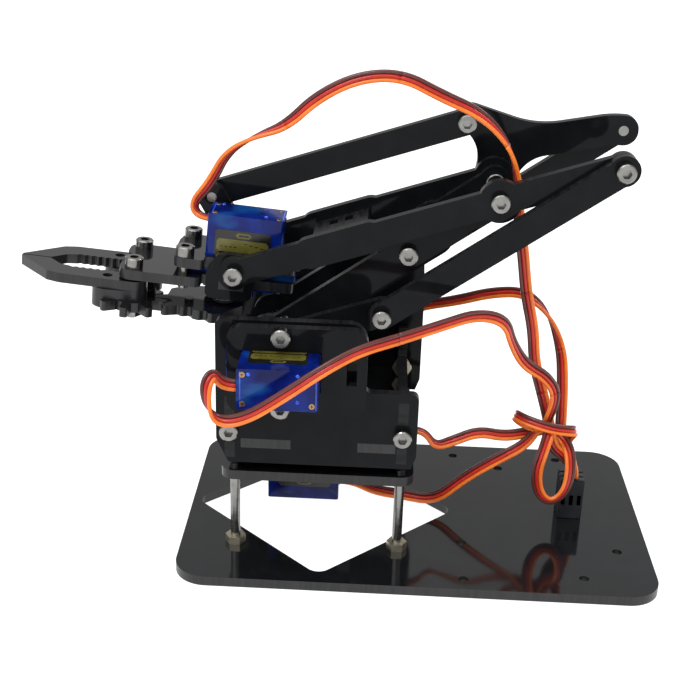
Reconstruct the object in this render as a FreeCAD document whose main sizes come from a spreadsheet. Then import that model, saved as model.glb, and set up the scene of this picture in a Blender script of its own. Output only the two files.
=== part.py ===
import FreeCAD, Part
import math
import os

import Sketcher
from FreeCAD import Placement, Rotation, Vector

# Desk-top robot arm cut from 3 mm black acrylic sheet and moved by four 9 g servos.
# Frame: +X is the arm's reach, +Y its left, +Z up. The origin is on the turning axis of
# the turret, at the underside of the base plate.

DIMENSIONS = {
    # acrylic sheet, and the layers that the arm's links lie in
    "sheet": 3.0, "layergap": 0.3, "innerface": 8.3,
    # M3 screws and nuts
    "screwdia": 3.0, "loosehole": 3.2, "headdia": 5.5, "headheight": 3.0,
    "hexwidth": 2.5, "hexdepth": 1.6, "nutwidth": 5.5, "nutheight": 2.4, "sinkdepth": 1.6,
    # base plate with its diamond window, and the plate that carries the turret's servo
    "baselength": 145.2, "basewidth": 92.8, "basefront": 41.8, "basecorner": 10.0,
    "windowhalf": 42.2, "windowx": -1.5, "standoffpitch": 50.0, "mountheight": 26.7, "mountside": 58.0,
    # 9 g servo
    "servolength": 22.7, "servowidth": 12.2, "casetop": 22.7, "towertop": 26.7,
    "towerdia": 11.8, "bumpdia": 5.2, "shaftoffset": 5.35, "flangelength": 32.2,
    "flangeheight": 15.9, "flangethick": 2.5, "coverheight": 4.0, "flangehole": 2.0,
    "flangepitch": 27.8, "hubdia": 6.8, "hornthick": 1.4,
    # turret box
    "turrethalf": 30.2, "turretfront": 30.0, "turretrear": 29.3, "farrear": 31.3,
    "turretbottom": 33.3, "turrettop": 78.8, "rearshoulder": 57.5, "frontcross": 26.0,
    "rearcross": 25.0, "floortop": 41.2, "crossscrew": 44.1, "crosstop": 57.0,
    "crossnotch": 48.0, "collarscrew": 11.0,
    # pivots of the arm
    "shoulderx": 15.84, "shoulderz": 65.6, "armlength": 80.0, "cranklength": 35.0,
    "shoulderangle": 35.05, "elbowangle": 18.07, "linkhalf": 3.9, "endradius": 4.4,
    "armwide": 5.2, "elbowboss": 6.2, "hubradius": 7.2, "armbrace": 49.3, "forearmbrace": 47.5,
    "spacerdia": 6.0, "slotdepth": 2.4, "slotwidth": 1.2,
    # parallel links that keep the gripper level
    "levelx": 9.26, "levelz": 16.57, "rodx": 37.64, "rodz": 14.9,
    # gripper, in its own frame at the wrist pivot
    "griptilt": 5.0, "griptop": -3.3, "jawx": 30.4, "jawy": 8.6,
    "jawteeth": 8.0, "sectorteeth": 18.0, "addendum": 2.0, "dedendum": 2.4,
    # servo leads and the three-pin housings on their ends
    "leadwidth": 3.6, "plugwidth": 7.6, "plugthick": 2.6, "pluglength": 14.0,
}

doc = FreeCAD.newDocument("servo_arm")
sheet = doc.addObject("Spreadsheet::Sheet", "Dimensions")
for row, (alias, value) in enumerate(DIMENSIONS.items(), start=1):
    sheet.set(f"A{row}", alias)
    sheet.set(f"B{row}", str(value))
    sheet.setAlias(f"B{row}", alias)
doc.recompute()

nodes = {}


def dim(alias):
    """The value of one driving dimension."""
    return sheet.get(alias)


def ref(alias):
    """The expression that reads one driving dimension."""
    return f"{sheet.Name}.{alias}"


# --- placements -----------------------------------------------------------------------

ORIGIN = Placement()


def upright(outer_y, pivot=(0.0, 0.0), angle=0.0):
    """Sketch x and y go to the XZ plane, turned about a pivot; thickness runs to -Y."""
    turn = Rotation(Vector(0, -1, 0), angle) * Rotation(Vector(1, 0, 0), 90)
    return Placement(Vector(pivot[0], outer_y, pivot[1]), turn)


def across(front_x):
    """Sketch x and y go to the YZ plane; thickness runs to +X from front_x."""
    return Placement(Vector(front_x, 0, 0), Rotation(Vector(1, 1, 1), 120))


def flat(bottom_z, frame=ORIGIN):
    """Sketch x and y stay X and Y; thickness runs to +Z."""
    return frame * Placement(Vector(0, 0, bottom_z), Rotation())


# --- outlines -------------------------------------------------------------------------

def rounded(points):
    """Closed outline through corner points (x, y) or (x, y, fillet radius)."""
    corners = [(Vector(p[0], p[1], 0), p[2] if len(p) > 2 else 0.0) for p in points]
    starts, ends, arcs = [], [], []
    for index, (corner, radius) in enumerate(corners):
        before = (corners[index - 1][0] - corner).normalize()
        after = (corners[(index + 1) % len(corners)][0] - corner).normalize()
        if radius == 0:
            starts.append(corner)
            ends.append(corner)
            arcs.append(None)
            continue
        half = before.getAngle(after) / 2
        reach = radius / math.tan(half)
        starts.append(corner + before * reach)
        ends.append(corner + after * reach)
        middle = (before + after).normalize()
        centre = corner + middle * (radius / math.sin(half))
        arcs.append(Part.Arc(starts[-1], centre - middle * radius, ends[-1]))
    outline = []
    for index, arc in enumerate(arcs):
        if arc:
            outline.append(arc)
        following = (index + 1) % len(arcs)
        side = corners[following][0] - corners[index][0]
        if (starts[following] - ends[index]).dot(side) < -1e-6:
            raise ValueError(f"the fillets at corners {index} and {following} overlap: {points}")
        if ends[index].distanceToPoint(starts[following]) > 1e-6:
            outline.append(Part.LineSegment(ends[index], starts[following]))
    return outline


def bar(start, end, half):
    """Strip with round ends whose centres are start and end."""
    a, b = Vector(*start, 0), Vector(*end, 0)
    along = (b - a).normalize() * half
    side = Vector(-along.y, along.x, 0)
    return [
        Part.LineSegment(a - side, b - side), Part.Arc(b - side, b + along, b + side),
        Part.LineSegment(b + side, a + side), Part.Arc(a + side, a - along, a - side),
    ]


def box(x0, y0, x1, y1, radius=0.0):
    return rounded([(x0, y0, radius), (x1, y0, radius), (x1, y1, radius), (x0, y1, radius)])


def disc(x, y, radius):
    return [Part.Circle(Vector(x, y, 0), Vector(0, 0, 1), radius)]


# --- bodies ---------------------------------------------------------------------------

def add_sketch(body, name, outlines, circles=()):
    """Sketch on the body's XY plane; each circle is (x, y, alias of its diameter)."""
    sketch = body.newObject("Sketcher::SketchObject", name)
    plane = next(item for item in body.Origin.OriginFeatures if item.Role == "XY_Plane")
    sketch.AttachmentSupport = (plane, [""])
    sketch.MapMode = "FlatFace"
    for outline in outlines:
        sketch.addGeometry(outline, False)
    for x, y, alias in circles:
        index = sketch.addGeometry(Part.Circle(Vector(x, y, 0), Vector(0, 0, 1), dim(alias) / 2), False)
        number = sketch.addConstraint(Sketcher.Constraint("Diameter", index, dim(alias)))
        sketch.setExpression(f"Constraints[{number}]", ref(alias))
    return sketch


def add_pad(body, outlines, height, circles=(), start=None):
    """Pad the outlines up to a height, from the XY plane or from a start height."""
    number = len(body.Group)
    sketch = add_sketch(body, f"{body.Name}_outline{number}", outlines, circles)
    if start is not None:
        sketch.setExpression("AttachmentOffset.Base.z", start)
    pad = body.newObject("PartDesign::Pad", f"{body.Name}_pad{number}")
    pad.Profile = sketch
    pad.setExpression("Length", height)
    return pad


def add_cut(body, outlines, circles=(), depth=None):
    """Pocket the outlines upwards from the XY plane, right through or to a depth."""
    number = len(body.Group)
    sketch = add_sketch(body, f"{body.Name}_holes{number}", outlines, circles)
    doc.recompute()
    before = body.Shape.Volume
    pocket = body.newObject("PartDesign::Pocket", f"{body.Name}_pocket{number}")
    pocket.Profile = sketch
    pocket.Reversed = True
    pocket.Type = 0 if depth else 1
    if depth:
        pocket.setExpression("Length", depth)
    doc.recompute()
    if body.Shape.Volume > before - 1e-3:
        raise RuntimeError(f"{body.Name}: the pocket cut nothing")
    return pocket


def new_body(label, placement):
    body = doc.addObject("PartDesign::Body", label)
    body.Label = label
    body.Placement = placement
    nodes[label] = body
    return body


def plate(label, placement, profiles, cuts=(), circles=()):
    """Acrylic sheet: profiles are padded one on another, then everything is cut through."""
    body = new_body(label, placement)
    for outline in profiles:
        add_pad(body, [outline], ref("sheet"))
    if cuts or circles:
        add_cut(body, cuts, circles)
    return body


def group(label, shapes):
    """Several like solids in one node."""
    feature = doc.addObject("Part::Feature", label)
    feature.Label = label
    feature.Shape = Part.makeCompound(shapes)
    nodes[label] = feature
    return feature


# --- fasteners ------------------------------------------------------------------------

def socket_screw(length):
    """M3 socket head screw, its shank down from the origin and its head above."""
    head = Part.makeCylinder(dim("headdia") / 2, dim("headheight"))
    head = head.makeChamfer(0.3, [edge for edge in head.Edges if edge.Vertexes[0].Z > 1])
    hexagon = [
        Vector(math.cos(math.radians(60 * k)), math.sin(math.radians(60 * k)), 0)
        * (dim("hexwidth") / math.sqrt(3)) for k in range(7)
    ]
    socket = Part.Face(Part.makePolygon(hexagon)).extrude(Vector(0, 0, dim("hexdepth")))
    socket.translate(Vector(0, 0, dim("headheight") - dim("hexdepth")))
    shank = Part.makeCylinder(dim("screwdia") / 2, length, Vector(), Vector(0, 0, -1))
    return head.cut(socket).fuse(shank).removeSplitter()


def countersunk_screw(length):
    """M3 screw whose conical head ends level with the origin; the shank goes up."""
    cone = Part.makeCone(dim("headdia") / 2, dim("screwdia") / 2, 1.6)
    shank = Part.makeCylinder(dim("screwdia") / 2, length)
    return cone.fuse(shank).removeSplitter()


def hex_nut():
    corners = [
        Vector(math.cos(math.radians(60 * k)), math.sin(math.radians(60 * k)), 0)
        * (dim("nutwidth") / math.sqrt(3)) for k in range(7)
    ]
    body = Part.Face(Part.makePolygon(corners)).extrude(Vector(0, 0, dim("nutheight")))
    return body.cut(Part.makeCylinder(dim("screwdia") / 2, dim("nutheight")))


def put(shape, point, direction=(0, 0, 1), frame=ORIGIN):
    """A copy with its origin at a point and its +Z along a direction."""
    moved = shape.copy()
    local = Placement(Vector(*point), Rotation(Vector(0, 0, 1), Vector(*direction)))
    moved.Placement = frame * local
    return moved


UP, DOWN, LEFT, RIGHT = (0, 0, 1), (0, 0, -1), (0, 1, 0), (0, -1, 0)

# --- layers of the arm, from its middle outwards ----------------------------------------

SHEET = dim("sheet")
LAYER = SHEET + dim("layergap")


def near_layer(number):
    """Outer face, towards +Y, of a sheet in the given layer on the left side."""
    return dim("innerface") + SHEET + (number - 1) * LAYER


def far_layer(number):
    """Inner face, towards +Y, of a sheet in the given layer on the right side."""
    return -dim("innerface") - (number - 1) * LAYER


SHOULDER = Vector(dim("shoulderx"), 0, dim("shoulderz"))
ARM_TURN = 180 - dim("shoulderangle")
FOREARM_TURN = -dim("elbowangle")
CRANK_TURN = 180 - dim("elbowangle")


def ahead(start, turn, distance):
    """The point at a distance from start along a direction in the XZ plane."""
    angle = math.radians(turn)
    return start + Vector(math.cos(angle), 0, math.sin(angle)) * distance


ARM, CRANK = dim("armlength"), dim("cranklength")
ELBOW = ahead(SHOULDER, ARM_TURN, ARM)
WRIST = ahead(ELBOW, FOREARM_TURN, ARM)
TAIL = ahead(ELBOW, FOREARM_TURN, -CRANK)
CRANK_PIN = ahead(SHOULDER, CRANK_TURN, CRANK)
LEVEL = Vector(dim("levelx"), 0, dim("levelz"))
LEVEL_REAR = ELBOW + LEVEL
LEVEL_FRONT = WRIST + LEVEL
ROD = Vector(-dim("rodx"), 0, dim("rodz"))
ROD_BASE = SHOULDER + ROD
ROD_TOP = ELBOW + ROD


def xz(point):
    return (point.x, point.z)


# --- servo ----------------------------------------------------------------------------

SHAFT_END = dim("servolength") / 2 - dim("shaftoffset")
SERVO_MIDDLE = dim("shaftoffset")
HORN_REACH = 13.5


def servo(prefix, placement):
    """Case with flange and gear tower, and the cap that closes its bottom.

    The shaft is the Z axis, the bottom is at z = 0 and the case runs back along +X.
    """
    length, half = dim("servolength"), dim("servowidth") / 2
    outline = box(-SHAFT_END, -half, length - SHAFT_END, half, 0.8)
    case = new_body(f"{prefix}_servo_case", placement)
    add_pad(case, [outline], f"{ref('casetop')} - {ref('coverheight')}", start=ref("coverheight"))
    middle = SERVO_MIDDLE
    reach = dim("flangelength") / 2
    flange = box(middle - reach, -half, middle + reach, half, 0.6)
    add_pad(case, [flange], ref("flangethick"), start=ref("flangeheight"))
    add_pad(case, [disc(0, 0, dim("towerdia") / 2)], f"{ref('towertop')} - {ref('casetop')} + 1",
            start=f"{ref('casetop')} - 1")
    add_pad(case, [disc(dim("towerdia") / 2 + 0.6, 0, dim("bumpdia") / 2)],
            f"{ref('towertop')} - {ref('casetop')} + 1", start=f"{ref('casetop')} - 1")
    holes = [(middle + side * dim("flangepitch") / 2, 0, "flangehole") for side in (-1, 1)]
    add_cut(case, [], holes)
    deep, wide = dim("slotdepth"), dim("slotwidth") / 2
    slots = [
        box(middle + side * reach - deep, -wide, middle + side * reach + deep, wide) for side in (-1, 1)
    ]
    add_cut(case, slots)
    cover = new_body(f"{prefix}_servo_cover", placement)
    add_pad(cover, [outline], ref("coverheight"))


def horn(label, placement, arm_side, height):
    """Output shaft and the nylon arm on it, reaching from the tower to its sheet.

    The placement is the servo's; the arm lies at the far end of the hub.
    """
    body = new_body(label, placement)
    add_pad(body, [disc(0, 0, dim("hubdia") / 2)], f"{height} - {ref('layergap')}",
            start=f"{ref('towertop')} + {ref('layergap')}")
    add_pad(body, [bar((0, 0), (arm_side * HORN_REACH, 0), 2.6)], ref("hornthick"),
            start=f"{ref('towertop')} + {height} - {ref('hornthick')}")
    return body


# --- base -----------------------------------------------------------------------------

STANDOFFS = [
    (sx * dim("standoffpitch") / 2, sy * dim("standoffpitch") / 2) for sx in (-1, 1) for sy in (-1, 1)
]
# controller board's four holes, then the four spare ones
BOARD_HOLES = [(-93.5, 21.5), (-45.2, 20.3), (-60.4, -30.5), (-88.4, -30.5)]
SPARE_HOLES = [(-45.0, -38.6), (-45.0, 41.0), (-81.2, 37.6), (-81.2, -38.6)]


def sink_heads(base):
    """Cone-shaped recesses for the flush heads under the base plate."""
    sketch = add_sketch(base, "base_sinks", [disc(x, y, dim("headdia") / 2) for x, y in STANDOFFS])
    doc.recompute()
    before = base.Shape.Volume
    sinks = base.newObject("PartDesign::Pocket", "base_sink_pocket")
    sinks.Profile = sketch
    sinks.Reversed = True
    sinks.Type = 0
    sinks.setExpression("Length", ref("sinkdepth"))
    slope = (dim("headdia") - dim("screwdia")) / 2 / dim("sinkdepth")
    sinks.TaperAngle = -math.degrees(math.atan(slope))
    doc.recompute()
    if base.Shape.Volume > before - 1e-3:
        raise RuntimeError("the countersinks cut nothing")


def servo_window(clearance=0.15):
    """Opening that the servo's case passes through."""
    half = dim("servowidth") / 2 + clearance
    return box(-SHAFT_END - clearance, -half, dim("servolength") - SHAFT_END + clearance, half)


def make_base():
    front, length, half = dim("basefront"), dim("baselength"), dim("basewidth") / 2
    window = dim("windowhalf")
    outline = box(front - length, -half, front, half, dim("basecorner"))
    x = dim("windowx")
    diamond = rounded([(x + window, 0, 4), (x, window, 4), (x - window, 0, 4), (x, -window, 4)])
    holes = [(x, y, "screwdia") for x, y in BOARD_HOLES + SPARE_HOLES + STANDOFFS]
    sink_heads(plate("base_plate", ORIGIN, [outline], [diamond], holes))

    half = dim("mountside") / 2
    height = dim("mountheight")
    plate("servo_mount_plate", flat(height), [box(-half, -half, half, half, 4)],
          [servo_window()], [(x, y, "screwdia") for x, y in STANDOFFS])
    collar_z = height - dim("flangethick") - SHEET
    plate("base_servo_collar", flat(collar_z), [box(-10.5, -13.4, 21.2, 13.4, 2)], [servo_window()])
    long_screw = countersunk_screw(height + SHEET + 0.8)
    group("standoff_screws", [put(long_screw, (x, y, 0)) for x, y in STANDOFFS])
    group("standoff_nuts", [put(hex_nut(), (x, y, SHEET)) for x, y in STANDOFFS])
    bottom = flat(height - dim("flangethick") - dim("flangeheight"))
    servo("base", bottom)
    horn("turret_horn", bottom, 1, dim("floortop") - SHEET - bottom.Base.z - dim("towertop"))


# --- turret ---------------------------------------------------------------------------

TAB_ROWS = [(34.9, 40.0), (47.6, 54.7)]
FLOOR_TABS = [(7.9, 22.7), (-23.1, -11.9)]


def side_servo(prefix, side):
    """Placement of a servo outside a side plate, its shaft on the shoulder axis."""
    depth = dim("turrethalf") + dim("flangethick") + dim("flangeheight")
    turn = Rotation(Vector(-1, 0, 0), Vector(0, 0, -side), Vector(0, -side, 0), "ZXY")
    placement = Placement(Vector(SHOULDER.x, side * depth, SHOULDER.z), turn)
    servo(prefix, placement)
    return placement


def side_cuts():
    """Slots for the tabs of the cross plates and floor, and the servo's window."""
    cuts = []
    for centre in (dim("frontcross"), -dim("rearcross")):
        cuts += [box(centre - SHEET / 2, low, centre + SHEET / 2, high) for low, high in TAB_ROWS]
    floor = dim("floortop")
    cuts += [box(low, floor - SHEET, high, floor) for low, high in FLOOR_TABS]
    cuts.append(shoulder_window())
    return cuts


def shoulder_window(clearance=0.15):
    half = dim("servowidth") / 2 + clearance
    front = SHOULDER.x + SHAFT_END + clearance
    rear = SHOULDER.x + SHAFT_END - dim("servolength") - clearance
    return box(rear, SHOULDER.z - half, front, SHOULDER.z + half)


COLLAR_SCREWS = [
    (SHOULDER.x - SERVO_MIDDLE, SHOULDER.z + sign * dim("collarscrew")) for sign in (-1, 1)
]
CROSS_SCREWS = [(dim("frontcross"), dim("crossscrew")), (-dim("rearcross"), dim("crossscrew"))]


def make_side_plates():
    front, rear, far_rear = dim("turretfront"), -dim("turretrear"), -dim("farrear")
    bottom, top, shoulder = dim("turretbottom"), dim("turrettop"), dim("rearshoulder")
    half = dim("turrethalf")
    holes = [(x, z, "loosehole") for x, z in COLLAR_SCREWS + CROSS_SCREWS]
    near = rounded([
        (front - 3.6, bottom), (front, bottom + 7.5, 3), (front, top, 2), (-13.6, top, 5),
        (-13.6, shoulder, 2), (rear, shoulder, 2), (rear, bottom + 4, 2), (rear + 1.4, bottom),
    ])
    plate("near_side_plate", upright(half), [near], side_cuts(), holes)
    pivot = ROD_BASE
    far = rounded([
        (front - 3.6, bottom), (front, bottom + 7.5, 3), (front, top, 2), (-8, top, 6),
        (pivot.x + 6, pivot.z + 6.5, 6), (pivot.x - 8.5, pivot.z + 6.5, 6),
        (far_rear, pivot.z - 12, 8), (far_rear, bottom + 4, 2), (far_rear + 1.4, bottom),
    ])
    plate("far_side_plate", upright(SHEET - half), [far], side_cuts(),
          holes + [(pivot.x, pivot.z, "screwdia")])


def cross_plate(label, centre, notch):
    """Plate between the side plates, with tabs, T-slots for its nuts and a notched top."""
    inner, outer = dim("turrethalf") - SHEET, dim("turrethalf")
    top, screw = dim("crosstop"), dim("crossscrew")
    profile = [
        (-inner, dim("turretbottom") + 0.6), (inner, dim("turretbottom") + 0.6), (inner, top, 2),
        (22.5, top, 2), (22.5, notch, 2), (-22.5, notch, 2), (-22.5, top, 2), (-inner, top, 2),
    ]
    tabs = [
        box(min(side * outer, side * (inner - 2)), low, max(side * outer, side * (inner - 2)), high)
        for side in (-1, 1) for low, high in TAB_ROWS
    ]
    floor = dim("floortop")
    cuts = [box(-16, floor - SHEET, 16, floor)]
    width, depth = dim("screwdia") / 2 + 0.1, dim("nutheight") + 0.2
    for side in (-1, 1):
        end, nut = side * (inner - 9), side * (inner - 5)
        cuts.append(rounded([
            (side * inner, screw - width), (nut, screw - width), (nut, screw - 2.9),
            (nut - side * depth, screw - 2.9), (nut - side * depth, screw - width),
            (end, screw - width), (end, screw + width), (nut - side * depth, screw + width),
            (nut - side * depth, screw + 2.9), (nut, screw + 2.9), (nut, screw + width),
            (side * inner, screw + width),
        ]))
    return plate(label, across(centre - SHEET / 2), [rounded(profile)] + tabs, cuts)


def make_turret():
    floor, half = dim("floortop"), dim("turrethalf")
    front, rear = dim("frontcross") - SHEET / 2, -dim("rearcross") + SHEET / 2
    outline = box(rear, SHEET - half, front, half - SHEET)
    tabs = [
        box(low, min(side * half, side * (half - 6)), high, max(side * half, side * (half - 6)))
        for side in (-1, 1) for low, high in FLOOR_TABS
    ]
    ends = [box(rear - SHEET, -16, rear + 1, 16), box(front - 1, -16, front + SHEET, 16)]
    plate("turret_floor", flat(floor - SHEET), [outline] + tabs + ends)
    make_side_plates()
    cross_plate("front_cross_plate", dim("frontcross"), dim("crosstop") - 4)
    cross_plate("rear_cross_plate", -dim("rearcross"), dim("crossnotch"))

    elbow_servo = side_servo("elbow", 1)
    shoulder_servo = side_servo("shoulder", -1)
    x, z = SHOULDER.x - SERVO_MIDDLE, SHOULDER.z
    outline = box(-14, z - 13.3, 26, z + 13.3, 4)
    slots = [shoulder_window(), box(-11.1, z - 3.6, -8.2, z + 3.6)]
    holes = [(px, pz, "loosehole") for px, pz in COLLAR_SCREWS]
    outer = half + dim("flangethick") + SHEET
    plate("near_collar", upright(outer), [outline], slots, holes)
    plate("far_collar", upright(SHEET - outer), [outline], slots, holes)

    cross, collar = socket_screw(10), socket_screw(12)
    screws, nuts = [], []
    for side, way in ((1, LEFT), (-1, RIGHT)):
        for px, pz in CROSS_SCREWS:
            screws.append(put(cross, (px, side * half, pz), way))
            nuts.append(put(hex_nut(), (px, side * (half - SHEET - 7.5), pz), way))
        screws += [put(collar, (px, side * outer, pz), way) for px, pz in COLLAR_SCREWS]
    rod_screw = socket_screw(13)
    head_y = far_layer(4)
    screws.append(put(rod_screw, (ROD_BASE.x, head_y, ROD_BASE.z), LEFT))
    group("turret_screws", screws)
    group("turret_nuts", nuts)
    spacer_end = head_y - SHEET - dim("layergap")
    spacer = new_body("rod_spacer", upright(spacer_end, xz(ROD_BASE)))
    add_pad(spacer, [disc(0, 0, dim("spacerdia") / 2)],
            f"{ref('turrethalf')} - {ref('sheet')} + {spacer_end}", circles=[(0, 0, "loosehole")])
    return elbow_servo, shoulder_servo


# --- arm ------------------------------------------------------------------------------

def make_crank(elbow_servo):
    """Driven by the near servo: crank, its pivot screw and the servo's horn."""
    outer = near_layer(2)
    plate("crank", upright(outer, xz(SHOULDER), CRANK_TURN),
          [bar((0, 0), (CRANK, 0), dim("endradius")), disc(0, 0, dim("hubradius"))],
          circles=[(0, 0, "screwdia"), (CRANK, 0, "screwdia")])
    height = elbow_servo.Base.y - dim("towertop") - outer
    servo_turn = Rotation(Vector(0, -1, 0), -dim("elbowangle"))
    turned = Placement(elbow_servo.Base, servo_turn * elbow_servo.Rotation)
    horn("elbow_horn", turned, 1, height)
    inner = near_layer(1) - SHEET
    group("crank_pivot_screw", [put(socket_screw(outer - inner), (SHOULDER.x, inner, SHOULDER.z), RIGHT)])
    pin_y = near_layer(3)
    pin = socket_screw(pin_y - outer + SHEET)
    group("crank_pin_screw", [put(pin, (CRANK_PIN.x, pin_y, CRANK_PIN.z), LEFT)])
    plate("drive_link", upright(pin_y, xz(CRANK_PIN), ARM_TURN),
          [bar((0, 0), (ARM, 0), dim("linkhalf")), disc(ARM, 0, dim("endradius"))],
          circles=[(0, 0, "loosehole"), (ARM, 0, "loosehole")])


def t_slotted_brace(label, placement, half_long):
    """Small plate between two links, with a tab and a T-slot at each end.

    Sketch x runs across the arm; y runs along the link.
    """
    inner, outer = dim("innerface"), dim("innerface") + SHEET
    profile = [box(-inner, -half_long, inner, half_long)]
    for low, high in ((-half_long + 1.5, -half_long + 6), (half_long - 6, half_long - 1.5)):
        profile.append(box(-outer, low, outer, high))
    cuts = []
    width, depth = dim("screwdia") / 2 + 0.1, dim("nutheight") + 0.2
    for side in (-1, 1):
        edge, nut, end = side * inner, side * (inner - 3), side * 0.8
        cuts.append(rounded([
            (edge, -width), (nut, -width), (nut, -2.9), (nut - side * depth, -2.9),
            (nut - side * depth, -width), (end, -width), (end, width),
            (nut - side * depth, width), (nut - side * depth, 2.9), (nut, 2.9), (nut, width),
            (edge, width),
        ]))
    return plate(label, placement, profile, cuts)


def brace_placement(point, turn):
    """Plane that holds Y and the link's direction, centred on a point of the link."""
    angle = math.radians(turn)
    along = Vector(math.cos(angle), 0, math.sin(angle))
    normal = Vector(0, 1, 0).cross(along)
    return Placement(point - normal * (SHEET / 2), Rotation(Vector(0, 1, 0), along, normal, "ZXY"))


def brace_slots(distance, half_long):
    """Slots for a brace's two tabs in a link, centred at a distance from its pivot."""
    return [
        box(distance + side * (half_long - 1.5), -SHEET / 2, distance + side * (half_long - 6), SHEET / 2)
        for side in (-1, 1)
    ]


BRACE_HALF = 11.0


def make_lower_arm(shoulder_servo):
    at = dim("armbrace")
    profile = [
        bar((0, 0), (ARM, 0), dim("linkhalf")), disc(0, 0, dim("hubradius")),
        disc(ARM, 0, dim("endradius")), bar((0, 0), (at + 9, 0), dim("armwide")),
    ]
    slots = brace_slots(at, BRACE_HALF)
    holes = [(0, 0, "loosehole"), (at, 0, "loosehole"), (ARM, 0, "screwdia")]
    plate("near_lower_arm", upright(near_layer(1), xz(SHOULDER), ARM_TURN), profile, slots, holes)
    plate("far_lower_arm", upright(far_layer(1), xz(SHOULDER), ARM_TURN), profile, slots, holes)
    middle = ahead(SHOULDER, ARM_TURN, at)
    t_slotted_brace("lower_arm_brace", brace_placement(middle, ARM_TURN), BRACE_HALF)
    height = -far_layer(1) + SHEET
    hub_height = -shoulder_servo.Base.y - dim("towertop") - height
    turn = Rotation(Vector(0, -1, 0), -dim("shoulderangle"))
    turned = Placement(shoulder_servo.Base, turn * shoulder_servo.Rotation)
    horn("shoulder_horn", turned, 1, hub_height)
    outer = dim("innerface") + SHEET
    short = socket_screw(8)
    screws = [put(short, (middle.x, side * outer, middle.z), way)
              for side, way in ((1, LEFT), (-1, RIGHT))]
    nuts = [put(hex_nut(), (middle.x, side * (dim("innerface") - 5.5), middle.z), way)
            for side, way in ((1, LEFT), (-1, RIGHT))]
    pivot = socket_screw(near_layer(2) - near_layer(1) + SHEET)
    screws.append(put(pivot, (ELBOW.x, near_layer(2), ELBOW.z), LEFT))
    far_pivot = socket_screw(far_layer(1) - far_layer(3) + SHEET)
    screws.append(put(far_pivot, (ELBOW.x, far_layer(1), ELBOW.z), LEFT))
    group("lower_arm_fasteners", screws + nuts)


def make_level_links():
    """Triangle on the elbow, the rod behind it and the link to the gripper."""
    rod, level = ROD_TOP - ELBOW, LEVEL_REAR - ELBOW
    end = dim("endradius")
    outline = rounded([
        (level.x + 4.6, level.z + 1.5, 3.6), (level.x - 1.0, level.z + 5.2, 4),
        (-12, 15.6, 30), (rod.x + 4, rod.z + end + 0.3, 30), (rod.x - end, rod.z + end, end - 0.2),
        (rod.x - end, rod.z - end, end - 0.2), (rod.x + 3, rod.z - end, 10), (-8.5, 5.2, 11),
        (-5.5, -5.2, 5), (5.0, -5.2, 5), (5.5, 1.5, 6), (4.4, 8.5, 11),
    ])
    plate("level_triangle", upright(far_layer(3), xz(ELBOW)), [outline],
          circles=[(0, 0, "loosehole"), (level.x, level.z, "screwdia"), (rod.x, rod.z, "screwdia")])
    plate("top_link", upright(far_layer(2), xz(LEVEL_REAR), FOREARM_TURN),
          [bar((0, 0), (ARM, 0), dim("linkhalf"))], circles=[(0, 0, "loosehole"), (ARM, 0, "loosehole")])
    plate("rear_rod", upright(far_layer(4), xz(ROD_BASE), ARM_TURN),
          [bar((0, 0), (ARM, 0), dim("linkhalf"))], circles=[(0, 0, "loosehole"), (ARM, 0, "loosehole")])
    front = socket_screw(far_layer(2) - far_layer(3) + SHEET)
    rear = socket_screw(far_layer(3) - far_layer(4) + SHEET)
    group("triangle_screws", [
        put(front, (LEVEL_REAR.x, far_layer(2), LEVEL_REAR.z), LEFT),
        put(rear, (ROD_TOP.x, far_layer(4) - SHEET, ROD_TOP.z), RIGHT),
    ])


def make_forearm():
    at, tail = dim("forearmbrace"), -CRANK
    tab, half_long = 4.2, 8.5
    slots = [box(at - tab, -SHEET / 2, at + tab, SHEET / 2)]
    end = dim("endradius")
    near = [
        bar((tail, 0), (ARM, 0), dim("linkhalf")), disc(0, 0, dim("elbowboss")),
        disc(tail, 0, end), disc(ARM, 0, end + 0.4), bar((at - 9, 0), (at + 9, 0), 4.6),
    ]
    far = [
        bar((0, 0), (ARM, 0), dim("linkhalf")), disc(0, 0, dim("elbowboss")),
        disc(ARM, 0, end + 0.4), bar((at - 9, 0), (at + 9, 0), 4.6),
    ]
    holes = [(0, 0, "loosehole"), (ARM, 0, "loosehole")]
    plate("near_forearm", upright(near_layer(2), xz(ELBOW), FOREARM_TURN), near, slots,
          holes + [(tail, 0, "screwdia")])
    plate("far_forearm", upright(far_layer(2), xz(ELBOW), FOREARM_TURN), far, slots, holes)
    middle = ahead(ELBOW, FOREARM_TURN, at)
    inner, outer = -far_layer(2), near_layer(2)
    windows = [
        box(side * 4.5, way * 1.1, side * 8.5, way * 3.7) for side in (-1, 1) for way in (-1, 1)
    ]
    plate("forearm_brace", brace_placement(middle, FOREARM_TURN),
          [box(-inner, -half_long, inner, half_long), box(-outer, -tab, outer, tab)], windows)
    screw = socket_screw(near_layer(3) - near_layer(2) + SHEET)
    group("tail_screw", [put(screw, (TAIL.x, near_layer(3), TAIL.z), LEFT)])


# --- gripper --------------------------------------------------------------------------

GRIP = Placement(WRIST, Rotation(Vector(0, -1, 0), dim("griptilt")))
GRIP_TOP = dim("griptop")
JAW = (dim("jawx"), dim("jawy"))
JAW_RADIUS = dim("jawy")
SECTOR_RADIUS = JAW_RADIUS * dim("sectorteeth") / dim("jawteeth")
SHAFT_X = dim("jawx") - math.sqrt((JAW_RADIUS + SECTOR_RADIUS) ** 2 - JAW_RADIUS ** 2)
MESH_ANGLE = math.degrees(math.asin(JAW_RADIUS / (JAW_RADIUS + SECTOR_RADIUS)))
FINGER_Z = GRIP_TOP - SHEET - 0.5 - SHEET
SPACER_Z = FINGER_Z - SHEET
GEAR_Z = SPACER_Z - SHEET


def polar(radius, angle):
    return (radius * math.cos(math.radians(angle)), radius * math.sin(math.radians(angle)))


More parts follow.
